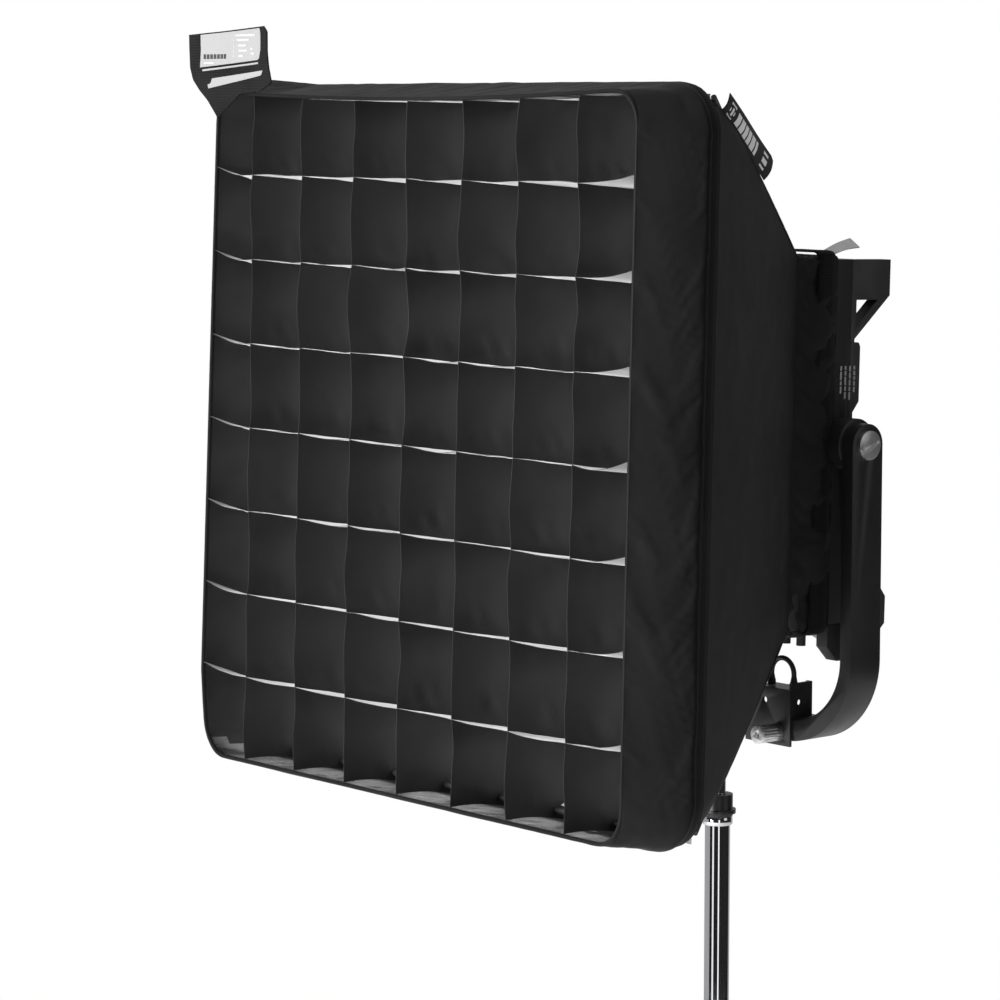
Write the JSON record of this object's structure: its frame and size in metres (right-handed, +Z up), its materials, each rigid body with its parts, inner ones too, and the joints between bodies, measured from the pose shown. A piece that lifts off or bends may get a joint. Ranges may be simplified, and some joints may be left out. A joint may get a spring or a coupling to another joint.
{
  "type": "studio softbox",
  "caption": "Square fabric softbox with an egg-crate grid on an LED lamp head, held by a tilting yoke on a telescopic chrome stand with folding legs.",
  "frame": {"origin": "on the floor, on the axis of the stand", "axes": "+Z up along the stand, -Y the way the light shines, +X to the viewer's right seen from in front"},
  "size_m": [0.821, 0.7155, 1.6395],
  "materials": {
    "bag_cloth": "woven nylon, matt with a soft sheen",
    "grid_cloth": "thin woven nylon, matt",
    "lining": "pale silvered lining",
    "diffusion": "white diffusion cloth",
    "webbing": "woven webbing",
    "clear_tab": "frosted translucent strip",
    "label_black": "woven label, pale edge",
    "label_white": "printed satin label",
    "rod": "black glass fibre rod",
    "housing": "fine textured black powder coat",
    "handle": "fine grained black composite",
    "bezel": "black moulded",
    "lens": "opal acrylic",
    "circuit": "white solder mask",
    "chips": "phosphor coated",
    "heatsink": "black anodised",
    "fan": "black moulded",
    "control": "black moulded, fine grain",
    "screen": "dark display window",
    "driver": "green circuit board",
    "knob": "knurled black",
    "button": "dark grey rubberised",
    "socket": "nickel plated",
    "yoke_paint": "satin black powder coat",
    "bright_steel": "turned stainless steel",
    "chrome": "polished chrome plate",
    "collar": "black cast collar",
    "lead": "black flexible jacket"
  },
  "bodies": {
    "base": {"column": "chrome"},
    "lower_screw": {"lower_screw": "chrome"},
    "leg_left": {"leg_left": "chrome"},
    "leg_right": {"leg_right": "chrome"},
    "riser_1": {"riser_1": "chrome", "upper_collar": "collar"},
    "upper_screw": {"upper_screw": "chrome"},
    "riser_2": {"riser_2": "chrome"},
    "yoke": {"yoke": "yoke_paint", "stud_receiver": "yoke_paint", "angle_plate": "yoke_paint", "patch_lead": "lead"},
    "receiver_screw": {"receiver_screw": "bright_steel"},
    "thumb_screw": {"thumb_screw": "bright_steel"},
    "tilt_knob": {"tilt_knob": "knob"},
    "head": {"bag_panel_top": "bag_cloth", "bag_panel_bottom": "bag_cloth", "bag_panel_left": "bag_cloth", "bag_panel_right": "bag_cloth", "bag_lining": "lining", "rim_hem": "bag_cloth", "front_frame": "rod", "corner_ribs": "rod", "front_diffuser": "diffusion", "neck_sleeve": "bag_cloth", "neck_strap": "webbing", "pull_tabs": "clear_tab", "bag_label": "label_black", "grid_verticals": "grid_cloth", "grid_horizontals": "grid_cloth", "grid_border": "grid_cloth", "grid_hem": "grid_cloth", "grid_skirt": "grid_cloth", "grid_flap": "webbing", "care_labels": "label_white", "lamp_housing": "housing", "lamp_bezel": "bezel", "lamp_lens": "lens", "led_board": "circuit", "led_chips": "chips", "heat_sink": "heatsink", "fan_frames": "fan", "control_box": "control", "display": "screen", "driver_board": "driver", "connectors": "socket", "cable_glands": "bezel", "upper_handle": "handle", "lower_handle": "handle", "side_pods": "handle", "pivot_bosses": "housing", "pivot_bolts": "bright_steel"},
    "button_1": {"button_1": "button"},
    "button_2": {"button_2": "button"},
    "button_3": {"button_3": "button"},
    "button_4": {"button_4": "button"},
    "encoder_left": {"encoder_left": "knob"},
    "encoder_right": {"encoder_right": "knob"},
    "fan_rotor_bottom": {"fan_rotor_bottom": "fan"},
    "fan_rotor_top": {"fan_rotor_top": "fan"}
  },
  "joints": [
    {"name": "leg_left_fold", "type": "hinge", "parent": "base", "child": "leg_left", "pos_m": [0, 0, 0.174], "axis": [0, 0, 1], "range_deg": [0, 100]},
    {"name": "leg_right_fold", "type": "hinge", "parent": "base", "child": "leg_right", "pos_m": [0, 0, 0.216], "axis": [0, 0, 1], "range_deg": [-100, 0]},
    {"name": "thick_riser_slide", "type": "slide", "parent": "base", "child": "riser_1", "axis": [0, 0, 1], "range_m": [-0.13, 0.32]},
    {"name": "lower_screw_turn", "type": "hinge", "parent": "base", "child": "lower_screw", "pos_m": [-0.03, 0, 0.618], "axis": [-1, 0, 0], "continuous": true},
    {"name": "thin_riser_slide", "type": "slide", "parent": "riser_1", "child": "riser_2", "axis": [0, 0, 1], "range_m": [-0.012, 0.3]},
    {"name": "upper_screw_turn", "type": "hinge", "parent": "riser_1", "child": "upper_screw", "pos_m": [-0.03, 0, 0.883], "axis": [-1, 0, 0], "continuous": true},
    {"name": "yoke_pan", "type": "hinge", "parent": "riser_2", "child": "yoke", "pos_m": [0, 0, 0.96], "axis": [0, 0, 1], "continuous": true},
    {"name": "receiver_screw_turn", "type": "hinge", "parent": "yoke", "child": "receiver_screw", "pos_m": [0, -0.03, 0.949], "axis": [0, -1, 0], "continuous": true},
    {"name": "thumb_screw_turn", "type": "hinge", "parent": "yoke", "child": "thumb_screw", "pos_m": [0.106, -0.04, 0.969], "axis": [0, -1, 0], "continuous": true},
    {"name": "tilt_knob_turn", "type": "hinge", "parent": "yoke", "child": "tilt_knob", "pos_m": [-0.21, 0, 1.25], "axis": [-1, 0, 0], "continuous": true},
    {"name": "head_tilt", "type": "hinge", "parent": "yoke", "child": "head", "pos_m": [0, 0, 1.25], "axis": [-1, 0, 0], "range_deg": [-20, 90]},
    {"name": "encoder_left_turn", "type": "hinge", "parent": "head", "child": "encoder_left", "pos_m": [-0.034, 0.05956, 1.23243], "axis": [0, 0.9997, -0.0262], "continuous": true},
    {"name": "encoder_right_turn", "type": "hinge", "parent": "head", "child": "encoder_right", "pos_m": [0.034, 0.05956, 1.23243], "axis": [0, 0.9997, -0.0262], "continuous": true},
    {"name": "button_1_press", "type": "slide", "parent": "head", "child": "button_1", "axis": [0, -0.9997, 0.0262], "range_m": [0, 0.0012], "stiffness_N_per_m": 600, "springref_m": -0.0006},
    {"name": "button_2_press", "type": "slide", "parent": "head", "child": "button_2", "axis": [0, -0.9997, 0.0262], "range_m": [0, 0.0012], "stiffness_N_per_m": 600, "springref_m": -0.0006},
    {"name": "button_3_press", "type": "slide", "parent": "head", "child": "button_3", "axis": [0, -0.9997, 0.0262], "range_m": [0, 0.0012], "stiffness_N_per_m": 600, "springref_m": -0.0006},
    {"name": "button_4_press", "type": "slide", "parent": "head", "child": "button_4", "axis": [0, -0.9997, 0.0262], "range_m": [0, 0.0012], "stiffness_N_per_m": 600, "springref_m": -0.0006},
    {"name": "fan_top_spin", "type": "hinge", "parent": "head", "child": "fan_rotor_top", "pos_m": [0, 0.0245, 1.34539], "axis": [0, 0.9997, -0.0262], "continuous": true},
    {"name": "fan_bottom_spin", "type": "hinge", "parent": "head", "child": "fan_rotor_bottom", "pos_m": [0, 0.01948, 1.15346], "axis": [0, 0.9997, -0.0262], "continuous": true}
  ]
}
